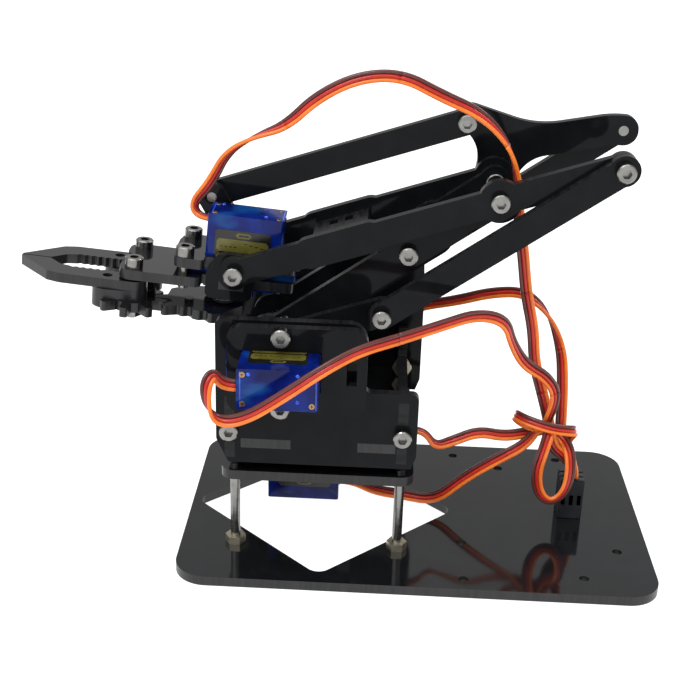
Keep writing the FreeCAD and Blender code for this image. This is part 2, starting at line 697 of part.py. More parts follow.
def tooth(pitch_radius, angle, pitch_angle):
    """Corners of one rounded tooth, counter-clockwise, about the gear's centre."""
    root, tip = pitch_radius - dim("dedendum"), pitch_radius + dim("addendum")
    corners = []
    for radius, share, fillet in ((root, -0.31, 0.5), (tip, -0.13, 0.7), (tip, 0.13, 0.7), (root, 0.31, 0.5)):
        corners.append((*polar(radius, angle + share * pitch_angle), fillet))
    return corners


def gear_outline(pitch_radius, angles, pitch_angle):
    return [corner for angle in angles for corner in tooth(pitch_radius, angle, pitch_angle)]


def upright_in_grip(outer_y):
    return GRIP * upright(outer_y)


def finger_outline(side):
    """Claw with a straight outer edge, a scalloped grip and a pointed tip."""
    x, y = JAW
    scallops = []
    for step in range(7):
        start = 50.5 - 2.2 * step
        scallops += [(start, 5.2, 0.2), (start - 1.1, 5.9, 0.2)]
    points = [
        (66.2, 0.25), (66.2, 0.9, 0.3), (55.8, 11.4, 2), (52, 12.6, 6), (x + 2, 12.9, 3),
        (x - 4.3, 12.9, 4.2), (x - 4.3, 4.3, 4.2), (x + 4, 4.3, 2), (35.2, 5.4, 0.5),
    ]
    points = points[:9] + list(reversed(scallops)) + [(53.5, 4.4, 2), (57.5, 0.25, 2)]
    return rounded([(px, side * py, *rest) for px, py, *rest in points])


def make_jaw(prefix, side, angles):
    """Finger, spacer and gear plate of one jaw, in the gripper's frame."""
    x, y = JAW
    holes = [(x, side * y, "loosehole"), (x + 7.6, side * (y + 0.7), "screwdia")]
    plate(f"{prefix}_finger", flat(FINGER_Z, GRIP), [finger_outline(side)], circles=holes)
    arm = bar((x, side * y), (x + 7.6, side * (y + 0.7)), 4.4)
    pitch = 360 / dim("jawteeth")
    profiles = [disc(x, side * y, JAW_RADIUS - dim("dedendum")), arm]
    for angle in angles:
        corners = tooth(JAW_RADIUS, angle, pitch)
        profiles.append(rounded([(px + x, py + side * y, *rest) for px, py, *rest in corners]))
    spacer = new_body(f"{prefix}_spacer", flat(SPACER_Z, GRIP))
    add_pad(spacer, [arm], ref("sheet"))
    add_cut(spacer, [], holes)
    plate(f"{prefix}_jaw_gear", flat(GEAR_Z, GRIP), profiles, circles=holes)


def sector_outline():
    """Two teeth that mesh with the near jaw, on a wide lever round the servo's shaft."""
    pitch = 360 / dim("sectorteeth")
    teeth = gear_outline(SECTOR_RADIUS, [MESH_ANGLE, MESH_ANGLE + pitch], pitch)
    rim = [(*polar(radius, angle), fillet) for radius, angle, fillet in (
        (SECTOR_RADIUS - dim("dedendum"), MESH_ANGLE + 1.6 * pitch, 1), (14.4, 54, 1), (15.6, 61, 1.2),
        (15.4, 69, 1.2), (13.8, 74, 1), (15.8, 82, 1.2), (14.6, 92, 1.5),
    )]
    back = [(-6.8, 5.5, 3), (-6.8, -6.0, 4), (4.5, -7.6, 4), (11.5, -6.2, 3), (16.4, -1.8, 1.5)]
    return rounded([(px + SHAFT_X, py, *rest) for px, py, *rest in teeth + rim + back])


def make_gripper():
    x, y = JAW
    inner = dim("innerface")
    outer = inner + SHEET
    window = [(px + SHAFT_X, py) for px, py in ((SHAFT_END, 1), (SHAFT_END - dim("servolength"), 1))]
    half = dim("servowidth") / 2 + 0.15
    opening = box(window[1][0] - 0.15, -half, window[0][0] + 0.15, half)
    screws = [(15.4, side * 8.7, "screwdia") for side in (-1, 1)]
    rear_screw = (SHAFT_X - SERVO_MIDDLE - dim("flangepitch") / 2, 0, "flangehole")
    lobes = rounded([
        (34.6, -12.6, 4), (34.6, -4.2, 3), (31.0, 0, 4), (34.6, 4.2, 3), (34.6, 12.6, 4),
        (10, 12.2, 2), (10, inner), (-17.5, inner, 2), (-17.5, -inner, 2), (10, -inner), (10, -12.2, 2),
    ])
    tabs = [box(-3, side * 4 - 4 - (outer - 8) * (side < 0), 4.5, side * 4 + 4 + (outer - 8) * (side > 0))
            for side in (-1, 1)]
    plate("gripper_plate", flat(GRIP_TOP - SHEET, GRIP), [lobes] + tabs, [opening],
          screws + [rear_screw] + [(x, side * y, "screwdia") for side in (-1, 1)])
    collar = rounded([
        (19, -5.5, 2), (19, 5.5, 2), (18, 11.8, 3), (9.5, 11.8, 1), (9.5, inner - 0.3),
        (-17.5, inner - 0.3, 2), (-17.5, 0.3 - inner, 2), (9.5, 0.3 - inner), (9.5, -11.8, 1), (18, -11.8, 3),
    ])
    collar_z = GRIP_TOP + dim("flangethick")
    plate("gripper_collar", flat(collar_z, GRIP), [collar], [opening], screws + [rear_screw])
    slot = box(-3, GRIP_TOP - SHEET, 4.5, GRIP_TOP)
    wrist = [(0, 0, "screwdia")]
    body = rounded([(-5.5, -9.3, 2), (8.5, -9.3, 2), (8.5, -1, 3), (4.8, 4.8, 4), (-5.5, 4.8, 4)])
    plate("near_bracket", upright_in_grip(outer), [body], [slot], wrist)
    level = GRIP.inverse().multVec(LEVEL_FRONT)
    neck = bar((0, 0), xz(level), 4.3)
    plate("far_bracket", upright_in_grip(-inner), [body, neck], [slot], wrist + [(*xz(level), "screwdia")])

    placement = Placement(Vector(SHAFT_X, 0, collar_z + dim("flangeheight")),
                          Rotation(Vector(-1, 0, 0), Vector(0, 1, 0), Vector(0, 0, -1), "ZXY"))
    servo("gripper", GRIP * placement)
    clamp, pivot = socket_screw(10), socket_screw(16)
    shapes = [put(clamp, (px, py, collar_z + SHEET), UP, GRIP) for px, py, _ in screws]
    shapes += [put(pivot, (x, side * y, GRIP_TOP), UP, GRIP) for side in (-1, 1)]
    shapes += [put(hex_nut(), (x, side * y, GEAR_Z - 0.3 - dim("nutheight")), UP, GRIP) for side in (-1, 1)]
    wrist_screw = socket_screw(near_layer(2) - near_layer(1) + SHEET)
    shapes.append(put(wrist_screw, (WRIST.x, near_layer(2), WRIST.z), LEFT))
    for point in (WRIST, LEVEL_FRONT):
        shapes.append(put(wrist_screw, (point.x, far_layer(2) - SHEET, point.z), RIGHT))
    group("gripper_fasteners", shapes)
    plate("gear_sector", flat(GEAR_Z, GRIP), [sector_outline()], [disc(SHAFT_X, 0, dim("hubdia") / 2 + 0.1)])
    tower = placement.Base.z - dim("towertop")
    horn("gripper_horn", GRIP * placement, -1, tower - GEAR_Z + dim("hornthick"))


def make_jaws():
    pitch = 360 / dim("jawteeth")
    first = 180 + MESH_ANGLE + pitch / 2
    near_angles = [first + pitch * step for step in range(int(dim("jawteeth")))]
    make_jaw("near", 1, near_angles)
    # the far gear's teeth fill the near gear's spaces; those next to the sector are left off
    offset = (270 - first) % pitch
    far_angles = [90 + offset - pitch / 2, 90 + offset + pitch / 2]
    make_jaw("far", -1, far_angles)


# --- servo leads ----------------------------------------------------------------------

# Each lead is a flat three-wire ribbon; its solid is a round tube as wide as the ribbon.
GRIPPER_ROUTE = [
    (35.2, 0.0, 99.3), (38.4, 0.0, 99.7), (40.4, 0.3, 103.6), (34.6, 0.6, 110.4),
    (29.8, 1.0, 119.8), (21.5, 1.2, 124.8), (12.4, 1.4, 128.2), (3.8, 1.6, 136.8),
    (-8.0, 1.8, 143.0), (-20.5, 2.0, 144.0), (-32.0, 2.0, 138.4), (-43.5, 2.0, 133.8),
    (-51.8, 2.0, 125.6), (-55.4, 2.0, 115.6), (-56.4, 2.0, 104.4), (-58.8, 1.6, 92.4),
    (-60.8, 1.2, 79.6), (-64.0, 0.8, 68.0), (-65.2, 0.6, 57.0), (-68.8, 0.6, 46.2),
    (-71.6, 0.8, 37.0), (-73.0, 1.2, 28.6), (-78.0, 1.4, 24.8), (-80.9, 0.9, 21.0),
    (-81.0, 0.8, 17.0),
]
ELBOW_ROUTE = [
    (21.9, 46.2, 65.6), (25.6, 46.2, 65.6), (28.0, 48.6, 70.4), (31.6, 51.2, 67.6),
    (31.2, 52.0, 60.6), (26.8, 53.0, 56.2), (18.4, 53.6, 59.2), (8.4, 54.0, 66.4),
    (-2.2, 53.0, 74.2), (-11.6, 48.0, 78.2), (-22.4, 41.0, 79.2), (-34.2, 33.0, 80.6),
    (-44.6, 25.4, 81.6), (-53.6, 19.2, 77.6), (-56.4, 15.6, 68.8), (-61.2, 11.8, 60.6),
    (-68.2, 8.0, 55.6), (-72.6, 5.6, 48.8), (-71.2, 3.8, 39.6), (-69.6, -0.4, 33.2),
    (-64.2, -4.4, 33.8), (-60.2, -0.6, 38.6), (-64.0, 5.4, 39.0), (-72.4, 7.0, 37.2),
    (-79.6, 4.8, 35.8), (-80.2, -1.6, 33.0), (-77.6, -3.4, 27.2), (-80.8, -2.4, 21.4),
    (-81.0, -2.2, 17.0),
]
SHOULDER_ROUTE = [
    (21.9, -46.2, 65.6), (26.6, -46.2, 65.6), (31.4, -49.4, 62.0), (32.4, -53.2, 52.2),
    (26.4, -55.2, 42.4), (14.4, -55.6, 37.2), (1.0, -55.2, 38.2), (-10.2, -51.8, 44.8),
    (-20.4, -44.6, 53.0), (-31.0, -36.4, 60.4), (-42.4, -31.6, 64.4), (-53.0, -26.4, 69.6),
    (-63.2, -19.8, 72.6), (-70.6, -14.6, 67.4), (-75.0, -10.4, 57.2), (-76.0, -7.6, 46.6),
    (-76.4, -5.8, 36.2), (-76.6, -5.4, 26.6), (-80.8, -5.2, 21.6), (-81.0, -5.2, 17.0),
]
BASE_ROUTE = [
    (-6.1, 0.0, 12.4), (-10.6, 0.0, 12.2), (-17.6, 0.3, 9.2), (-26.6, 0.0, 8.0),
    (-37.4, 0.2, 6.4), (-46.6, 0.0, 15.4), (-57.0, 0.4, 23.0), (-65.0, 0.0, 28.0),
    (-69.0, -0.6, 34.6), (-71.8, 4.6, 36.2), (-69.8, 7.4, 29.8), (-68.2, 7.0, 21.5),
    (-69.8, 7.0, 14.0), (-74.0, 6.8, 11.0), (-78.4, 6.4, 15.0), (-79.6, 4.6, 23.0),
    (-78.4, 1.0, 29.6), (-73.2, -3.6, 32.6), (-66.2, -4.2, 30.4), (-58.4, -2.6, 29.4),
    (-50.0, -1.0, 31.6), (-42.2, 0.0, 28.4), (-36.4, 0.2, 26.0), (-33.0, 0.0, 31.0),
    (-28.0, 0.4, 32.0), (-20.4, 3.8, 31.5), (-14.0, 10.8, 31.6), (-4.0, 14.6, 31.5),
    (6.0, 14.0, 31.6), (11.0, 14.0, 31.6),
]


def lead(label, route):
    """Tube of straight runs joined by arcs as large as each pair of runs allows."""
    points = [Vector(*point) for point in route]
    edges, start, length, radii = [], points[0], 0.0, []
    for before, corner, after in zip(points, points[1:], points[2:]):
        back, ahead_way = before - corner, after - corner
        run = min(back.Length, ahead_way.Length)
        half = back.getAngle(ahead_way) / 2
        reach = 0.45 * run
        radius = reach * math.tan(half)
        back.normalize()
        ahead_way.normalize()
        middle = (back + ahead_way).normalize()
        centre = corner + middle * (radius / math.sin(half))
        first, last = corner + back * reach, corner + ahead_way * reach
        edges.append(Part.LineSegment(start, first).toShape())
        edges.append(Part.Arc(first, centre - middle * radius, last).toShape())
        radii.append(round(radius, 1))
        start = last
    edges.append(Part.LineSegment(start, points[-1]).toShape())
    path = Part.Wire(edges)
    ring = Part.Wire(Part.makeCircle(dim("leadwidth") / 2, points[0], points[1] - points[0]))
    tube = path.makePipeShell([ring], True, False)
    feature = doc.addObject("Part::Feature", label)
    feature.Label = label
    feature.Shape = tube
    nodes[label] = feature
    section = math.pi * dim("leadwidth") ** 2 / 4
    print(f"{label}: {path.Length:.1f} mm, radii {radii}, "
          f"volume over section times length {tube.Volume / (section * path.Length):.4f}")


def make_leads():
    """The four servos' leads and the housings on their ends."""
    lead("gripper_lead", GRIPPER_ROUTE)
    lead("elbow_lead", ELBOW_ROUTE)
    lead("shoulder_lead", SHOULDER_ROUTE)
    lead("base_lead", BASE_ROUTE)
    wide, thick, tall = dim("plugwidth"), dim("plugthick"), dim("pluglength")
    ends = [route[-1] for route in (GRIPPER_ROUTE, ELBOW_ROUTE, SHOULDER_ROUTE)]
    shapes = [
        Part.makeBox(wide, thick, tall, Vector(x - wide / 2, y - thick / 2, z - tall)) for x, y, z in ends
    ]
    x, y, _ = BASE_ROUTE[-1]
    shelf = dim("mountheight") + SHEET
    shapes.append(Part.makeBox(tall, wide, thick, Vector(x, y - wide / 2, shelf)))
    group("lead_plugs", shapes)


make_base()
elbow_servo, shoulder_servo = make_turret()
make_crank(elbow_servo)
make_lower_arm(shoulder_servo)
make_level_links()
make_forearm()
make_gripper()
make_jaws()
make_leads()
doc.recompute()

for item in doc.Objects:
    if {"Invalid", "Error"} & set(item.State):
        raise RuntimeError(f"{item.Name} did not recompute: {item.State}")
os.makedirs("parts", exist_ok=True)
for label, item in nodes.items():
    shape = item.Shape
    if shape.isNull() or not shape.isValid():
        raise RuntimeError(f"{label} has no valid shape")
    shape.exportStep(f"parts/{label}.step")
    print(f"{label}: {len(shape.Solids)} solids, {shape.Volume:.0f} mm3")
print(len(nodes), "nodes")
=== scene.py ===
"""Looks for the desktop parallelogram arm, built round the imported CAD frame.

+X is forward, +Y is the near side and +Z is up. Blender's unit is the metre; places and
sizes of the leads and the servos are in millimetres and go through MM.
"""
import math

import bmesh
import bpy
from mathutils import Matrix, Vector


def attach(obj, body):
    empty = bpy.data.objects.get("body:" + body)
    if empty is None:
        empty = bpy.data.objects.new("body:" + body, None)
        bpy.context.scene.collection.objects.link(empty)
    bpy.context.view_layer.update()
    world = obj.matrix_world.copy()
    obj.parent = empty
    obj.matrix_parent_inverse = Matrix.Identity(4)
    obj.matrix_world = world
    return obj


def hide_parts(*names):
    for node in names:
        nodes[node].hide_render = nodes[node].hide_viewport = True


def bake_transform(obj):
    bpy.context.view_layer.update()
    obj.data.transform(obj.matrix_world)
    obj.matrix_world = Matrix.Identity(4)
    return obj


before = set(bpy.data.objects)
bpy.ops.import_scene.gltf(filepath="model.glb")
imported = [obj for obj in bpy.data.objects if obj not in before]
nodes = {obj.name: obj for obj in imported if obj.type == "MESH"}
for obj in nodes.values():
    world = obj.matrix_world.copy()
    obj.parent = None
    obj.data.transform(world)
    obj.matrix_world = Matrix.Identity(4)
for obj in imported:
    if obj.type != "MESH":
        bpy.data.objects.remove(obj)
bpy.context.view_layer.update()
scene = bpy.context.scene
MM = 0.001

# --- camera ---------------------------------------------------------------------------

# The camera's own axes and its place, in metres.
RIGHT = Vector((-0.99840, -0.05176, 0.02285))
UP = Vector((0.04149, -0.39496, 0.91776))
AHEAD = Vector((0.03848, -0.91724, -0.39648))
CAMERA_PLACE = (-0.016015, 0.363609, 0.210696)
SENSOR_WIDTH, FOCAL_LENGTH = 36, 65.12
SHIFT_X, SHIFT_Y = 0.0342, 0.0185


def make_camera():
    data = bpy.data.cameras.new("camera")
    data.sensor_width = SENSOR_WIDTH
    data.lens = FOCAL_LENGTH
    data.shift_x, data.shift_y = SHIFT_X, SHIFT_Y
    data.clip_start, data.clip_end = 0.01, 20
    camera = bpy.data.objects.new("camera", data)
    scene.collection.objects.link(camera)
    camera.rotation_mode = "QUATERNION"
    camera.rotation_quaternion = Matrix((RIGHT, UP, -AHEAD)).transposed().to_quaternion()
    camera.location = CAMERA_PLACE
    scene.camera = camera


make_camera()

# --- shader helpers -------------------------------------------------------------------

# Places of a Mix node's colour sockets, whose names it repeats for its other data types.
COLOUR_A, COLOUR_B, COLOUR_RESULT = 6, 7, 2
# A face counts as the sheet's own when its normal is within about 41 degrees of the axis.
FACE_LIMIT = 0.75


def new_material(name, **inputs):
    """Principled material with the given inputs; returns it with its node tree and shader."""
    material = bpy.data.materials.new(name)
    material.use_nodes = True
    tree = material.node_tree
    shader = tree.nodes["Principled BSDF"]
    for key, value in inputs.items():
        socket = key.replace("_", " ").title().replace("Ior", "IOR")
        shader.inputs[socket].default_value = value
    return material, tree, shader


def add(tree, kind, **settings):
    """New node; each setting is one of its properties or else the value of an input."""
    node = tree.nodes.new(kind)
    for key, value in settings.items():
        if hasattr(node, key):
            setattr(node, key, value)
        else:
            node.inputs[key.replace("_", " ").title()].default_value = value
    return node


def noise(tree, scale, detail=3.0, stretch=(1, 1, 1)):
    """Noise in the object's own coordinates, so it rides with the piece."""
    place = add(tree, "ShaderNodeTexCoord")
    mapping = add(tree, "ShaderNodeMapping")
    mapping.inputs["Scale"].default_value = stretch
    texture = add(tree, "ShaderNodeTexNoise", scale=scale, detail=detail)
    tree.links.new(place.outputs["Object"], mapping.inputs["Vector"])
    tree.links.new(mapping.outputs["Vector"], texture.inputs["Vector"])
    return texture.outputs["Fac"]


def ramp(tree, source, low, high, first=(0, 0, 0), last=(1, 1, 1)):
    """Colour that goes from first to last while the source goes from low to high."""
    node = add(tree, "ShaderNodeValToRGB")
    for element, position, colour in zip(node.color_ramp.elements, (low, high), (first, last)):
        element.position, element.color = position, (*colour, 1)
    tree.links.new(source, node.inputs["Fac"])
    return node.outputs["Color"]


def span(tree, source, low, high):
    """The source's 0 to 1 as low to high."""
    node = add(tree, "ShaderNodeMapRange")
    node.inputs["To Min"].default_value, node.inputs["To Max"].default_value = low, high
    tree.links.new(source, node.inputs["Value"])
    return node.outputs["Result"]


def blend_by(tree, mask, a, b):
    """Number a where the mask is 0 and b where it is 1; both are sockets."""
    node = add(tree, "ShaderNodeMix", data_type="FLOAT")
    tree.links.new(mask, node.inputs["Factor"])
    tree.links.new(a, node.inputs["A"])
    tree.links.new(b, node.inputs["B"])
    return node.outputs["Result"]


def blend_colour(tree, mask, a, b):
    """Colour a where the mask is 0 and b where it is 1; a is a socket, b a socket or a colour."""
    node = add(tree, "ShaderNodeMix", data_type="RGBA")
    tree.links.new(mask, node.inputs["Factor"])
    tree.links.new(a, node.inputs[COLOUR_A])
    if isinstance(b, tuple):
        node.inputs[COLOUR_B].default_value = (*b, 1)
    else:
        tree.links.new(b, node.inputs[COLOUR_B])
    return node.outputs[COLOUR_RESULT]


def bump(tree, shader, height, distance, strength):
    node = add(tree, "ShaderNodeBump", strength=strength, distance=distance)
    tree.links.new(height, node.inputs["Height"])
    tree.links.new(node.outputs["Normal"], shader.inputs["Normal"])


def face_mask(tree, axis):
    """1 on the sheet's two faces and 0 on its cut edges."""
    place = add(tree, "ShaderNodeTexCoord")
    dot = add(tree, "ShaderNodeVectorMath", operation="DOT_PRODUCT")
    dot.inputs[1].default_value = axis
    size = add(tree, "ShaderNodeMath", operation="ABSOLUTE")
    limit = add(tree, "ShaderNodeMath", operation="GREATER_THAN")
    limit.inputs[1].default_value = FACE_LIMIT
    tree.links.new(place.outputs["Normal"], dot.inputs[0])
    tree.links.new(dot.outputs["Value"], size.inputs[0])
    tree.links.new(size.outputs["Value"], limit.inputs[0])
    return limit.outputs["Value"]


# --- materials ------------------------------------------------------------------------


def acrylic(name, axis, index):
    """Polished black sheet, square to the axis, whose laser-cut edges are greyer and satin."""
    material, tree, shader = new_material(name, ior=index)
    mask = face_mask(tree, axis)
    smudges = span(tree, noise(tree, 45, 4), 0.03, 0.13)
    along = [90.0 if a else 900.0 for a in axis]
    cut = noise(tree, 1.0, 2, along)
    edge_rough = span(tree, cut, 0.24, 0.42)
    tree.links.new(blend_by(tree, mask, edge_rough, smudges), shader.inputs["Roughness"])
    face = ramp(tree, noise(tree, 160, 5), 0.35, 0.75, (0.0050, 0.0055, 0.0065),
                (0.0075, 0.0082, 0.0096))
    edge = ramp(tree, cut, 0.3, 0.7, (0.006, 0.006, 0.007), (0.018, 0.018, 0.020))
    tree.links.new(blend_colour(tree, mask, edge, face), shader.inputs["Base Color"])
    flat = span(tree, noise(tree, 30, 2), 0.0, 0.12)
    bump(tree, shader, blend_by(tree, mask, cut, flat), 0.00006, 0.5)
    return material


def steel(name, colour, low, high):
    """Bare metal of that colour with roughness from low to high."""
    material, tree, shader = new_material(name, metallic=1.0)
    tree.links.new(span(tree, noise(tree, 700, 3), low, high), shader.inputs["Roughness"])
    dark = tuple(0.72 * c for c in colour)
    tint = ramp(tree, noise(tree, 350, 4), 0.3, 0.65, dark, colour)
    tree.links.new(tint, shader.inputs["Base Color"])
    bump(tree, shader, noise(tree, 1500, 2), 0.00002, 0.4)
    return material


def servo_blue():
    """Tinted clear moulding: deep blue, with paler and greener places where its inside shows."""
    material, tree, shader = new_material(
        "servo_blue", transmission_weight=0.15, ior=1.28, coat_weight=0.05, coat_roughness=0.05)
    deep = ramp(tree, noise(tree, 110, 3), 0.32, 0.7, (0.001, 0.003, 0.055), (0.004, 0.022, 0.24))
    patches = ramp(tree, noise(tree, 90, 2, (1, 1, 2)), 0.52, 0.7)
    colour = blend_colour(tree, patches, deep, (0.006, 0.065, 0.26))
    tree.links.new(colour, shader.inputs["Base Color"])
    tree.links.new(span(tree, noise(tree, 240, 3), 0.06, 0.2), shader.inputs["Roughness"])
    bump(tree, shader, noise(tree, 330, 2), 0.00006, 0.4)
    return material


def moulded(name, dark, light, low, high):
    """Opaque plastic or print between two colours, with roughness from low to high."""
    material, tree, shader = new_material(name)
    colour = ramp(tree, noise(tree, 220, 4), 0.3, 0.7, dark, light)
    tree.links.new(colour, shader.inputs["Base Color"])
    tree.links.new(span(tree, noise(tree, 500, 3), low, high), shader.inputs["Roughness"])
    bump(tree, shader, noise(tree, 1200, 2), 0.00003, 0.5)
    return material


def wire(name, dark, light):
    """Soft vinyl insulation with a faint gloss, faint kinks and handling marks."""
    material, tree, shader = new_material(
        name, ior=1.5, coat_weight=0.08, coat_roughness=0.2, subsurface_weight=0.08,
        subsurface_scale=0.0006)
    colour = ramp(tree, noise(tree, 130, 4), 0.3, 0.7, dark, light)
    tree.links.new(colour, shader.inputs["Base Color"])
    tree.links.new(span(tree, noise(tree, 420, 3), 0.24, 0.42), shader.inputs["Roughness"])
    bump(tree, shader, noise(tree, 600, 3), 0.00005, 0.5)
    return material


# Each way a sheet faces has its own index, tuned to the brightness of its reflections;
# real acrylic's is 1.49.
ACRYLIC_SIDE = acrylic("acrylic_upright", (0, 1, 0), 1.2)
ACRYLIC_FLAT = acrylic("acrylic_level", (0, 0, 1), 1.45)
ACRYLIC_CROSS = acrylic("acrylic_cross", (1, 0, 0), 1.27)
SCREW = steel("screw_steel", (0.27, 0.267, 0.255), 0.14, 0.32)
NUT = steel("nut_steel", (0.66, 0.61, 0.47), 0.3, 0.5)
BRASS = steel("brass", (0.42, 0.28, 0.13), 0.25, 0.45)
BLUE = servo_blue()
# Paler blue for the servos' pins and end ridges: painted highlight, lighter than the moulding
# itself.
BLUE_PAINTED_HIGHLIGHT = moulded("servo_blue_painted_highlight", (0.006, 0.03, 0.35), (0.03, 0.12, 0.85), 0.05, 0.15)
NYLON = moulded("nylon", (0.62, 0.62, 0.58), (0.82, 0.82, 0.78), 0.35, 0.5)
PLUG = moulded("plug_black", (0.008, 0.009, 0.012), (0.020, 0.022, 0.028), 0.28, 0.45)
WIRES = [
    wire("wire_brown", (0.070, 0.013, 0.010), (0.12, 0.024, 0.018)),
    wire("wire_red", (0.38, 0.008, 0.005), (0.54, 0.017, 0.009)),
    wire("wire_orange", (0.72, 0.135, 0.008), (0.86, 0.21, 0.018)),
]

# --- leads ----------------------------------------------------------------------------

LEAD_WIDTH = 0.0036
WIRE_RADIUS = LEAD_WIDTH / 6
WIRE_OVERLAP = 1.03
WIRE_SIDES = 12
TWIST_PASSES, TWIST_WEIGHT = 60, 1.5
BROWN_UP, BROWN_LEFT = (0, 0, -1), (-1, 0, 0)

# Each lead's route from the servo to its housing: x, y and z in millimetres and the direction
# from the brown wire to the orange one.
GRIPPER_LEAD = [
    (35.2, 0.0, 99.3, (0, 1, 0)), (38.4, 0.0, 99.7, (0.3, 1, 0.3)),
    (40.4, 0.3, 103.6, (0.8, 0.6, 0.1)), (34.6, 0.6, 110.4, (0.8, 0.4, 0.5)),
    (29.8, 1.0, 119.8, (0.5, 0.8, 0.4)), (21.5, 1.2, 124.8, (0.1, 1, 0.1)),
    (12.4, 1.4, 128.2, (0, 0.6, -1)), (3.8, 1.6, 136.8, BROWN_UP), (-8.0, 1.8, 143.0, BROWN_UP),
    (-20.5, 2.0, 144.0, BROWN_UP), (-32.0, 2.0, 138.4, BROWN_UP),
    (-43.5, 2.0, 133.8, (0, 0.5, -1)), (-51.8, 2.0, 125.6, (0, 1, -0.3)),
    (-55.4, 2.0, 115.6, (-0.4, 1, 0)), (-56.4, 2.0, 104.4, (-0.9, 0.5, 0)),
    (-58.8, 1.6, 92.4, BROWN_LEFT), (-60.8, 1.2, 79.6, BROWN_LEFT),
    (-64.0, 0.8, 68.0, BROWN_LEFT), (-65.2, 0.6, 57.0, BROWN_LEFT),
    (-68.8, 0.6, 46.2, BROWN_LEFT), (-71.6, 0.8, 37.0, BROWN_LEFT),
    (-73.0, 1.2, 28.6, BROWN_LEFT), (-78.0, 1.4, 24.8, BROWN_LEFT),
    (-80.9, 0.9, 21.0, BROWN_LEFT), (-81.0, 0.8, 17.0, BROWN_LEFT),
]
ELBOW_LEAD = [
    (21.9, 46.2, 65.6, BROWN_UP), (25.6, 46.2, 65.6, BROWN_UP),
    (28.0, 48.6, 70.4, (-0.5, 0.2, -1)), (30.0, 51.2, 67.4, (-0.9, 0.3, -0.3)),
    (29.4, 52.0, 61.2, (-0.8, 0.7, 0)), (25.8, 53.0, 57.2, (-0.1, 0.6, -1)),
    (18.4, 53.6, 59.2, BROWN_UP), (8.4, 54.0, 66.4, BROWN_UP), (-2.2, 53.0, 74.2, BROWN_UP),
    (-11.6, 48.0, 78.2, BROWN_UP), (-22.4, 41.0, 79.2, BROWN_UP), (-34.2, 33.0, 80.6, BROWN_UP),
    (-44.6, 25.4, 81.6, BROWN_UP), (-53.6, 19.2, 77.6, (0.4, 0.3, -1)),
    (-56.4, 15.6, 68.8, (0.5, 1, -0.2)), (-61.2, 11.8, 60.6, (0.8, 0.3, -0.5)),
    (-68.2, 8.0, 55.6, (0.8, 0.2, -0.6)), (-72.6, 5.6, 48.8, (0.7, 0.6, 0)),
    (-71.2, 3.8, 39.6, (1, 0.4, 0)), (-69.6, -0.4, 33.2, (0.6, 0, -0.6)),
    (-64.2, -4.4, 33.8, BROWN_UP), (-60.2, -0.6, 38.6, (0.3, 0, -1)),
    (-64.0, 5.4, 39.0, BROWN_UP), (-72.4, 7.0, 37.2, BROWN_UP), (-79.6, 4.8, 35.8, BROWN_UP),
    (-80.2, -1.6, 33.0, (-0.6, 0, -1)), (-77.6, -3.4, 27.2, BROWN_LEFT),
    (-80.8, -2.4, 21.4, BROWN_LEFT), (-81.0, -2.2, 17.0, BROWN_LEFT),
]
SHOULDER_LEAD = [
    (21.9, -46.2, 65.6, BROWN_UP), (26.6, -46.2, 65.6, BROWN_UP),
    (31.4, -49.4, 62.0, (-0.7, 0.4, -0.4)), (32.4, -53.2, 52.2, (-0.8, 0.6, 0)),
    (26.4, -55.2, 42.4, (-0.2, 0.5, -1)), (14.4, -55.6, 37.2, BROWN_UP),
    (1.0, -55.2, 38.2, BROWN_UP), (-10.2, -51.8, 44.8, BROWN_UP), (-20.4, -44.6, 53.0, BROWN_UP),
    (-31.0, -36.4, 60.4, BROWN_UP), (-42.4, -31.6, 64.4, BROWN_UP),
    (-53.0, -26.4, 69.6, (0, 0.3, -1)), (-63.2, -19.8, 72.6, (0, 0.8, -1)),
    (-70.6, -14.6, 67.4, (-0.3, 1, -0.2)), (-75.0, -10.4, 57.2, (-0.9, 0.5, 0)),
    (-76.0, -7.6, 46.6, BROWN_LEFT), (-76.4, -5.8, 36.2, BROWN_LEFT),
    (-76.6, -5.4, 26.6, BROWN_LEFT), (-80.8, -5.2, 21.6, BROWN_LEFT),
    (-81.0, -5.2, 17.0, BROWN_LEFT),
]
